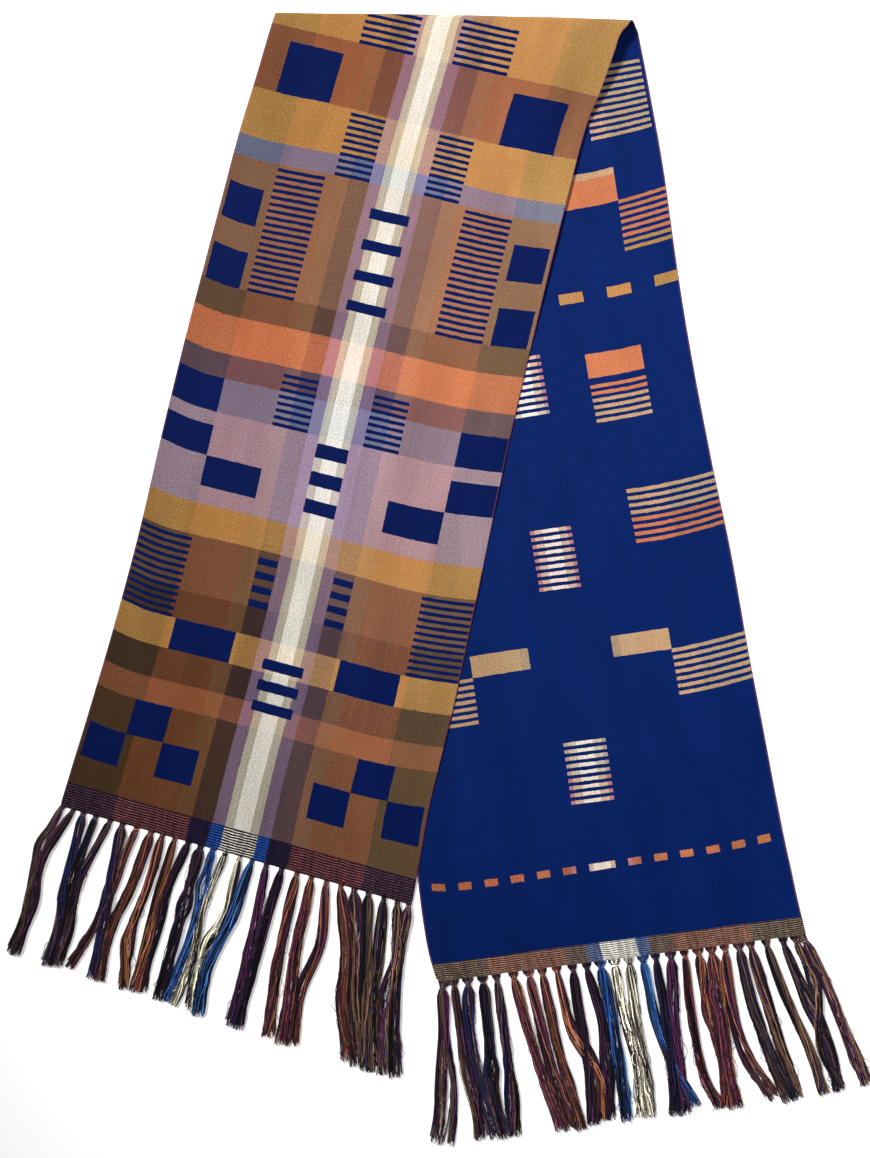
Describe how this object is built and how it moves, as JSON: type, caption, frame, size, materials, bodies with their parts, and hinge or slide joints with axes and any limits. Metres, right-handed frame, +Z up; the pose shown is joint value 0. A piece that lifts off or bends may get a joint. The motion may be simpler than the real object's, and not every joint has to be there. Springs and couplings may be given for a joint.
{
  "type": "silk scarf",
  "caption": "Long double-woven silk scarf, folded once and laid flat, with woven end bands and knotted tassel fringes.",
  "frame": {"origin": "on the floor, under the middle of the whole scarf as it lies", "axes": "+Z up from the floor, +Y from the tassels towards the fold, +X to the right with the fold at the top"},
  "size_m": [0.8584, 1.1592, 0.0172],
  "materials": {
    "silk_face": "woven silk, soft satin sheen, plaid in rust, ochre, brown and lilac",
    "silk_reverse": "woven silk, navy with small motifs",
    "end_band": "close weft ribs over striped warp",
    "fringe": "loose silk threads, knotted at the hem"
  },
  "bodies": {
    "root": {"cloth_front": "silk_face", "cloth_fold": "silk_face", "cloth_back": "silk_reverse", "band_front": "end_band", "band_back": "end_band", "fringe_front": "fringe", "fringe_back": "fringe"}
  },
  "joints": []
}
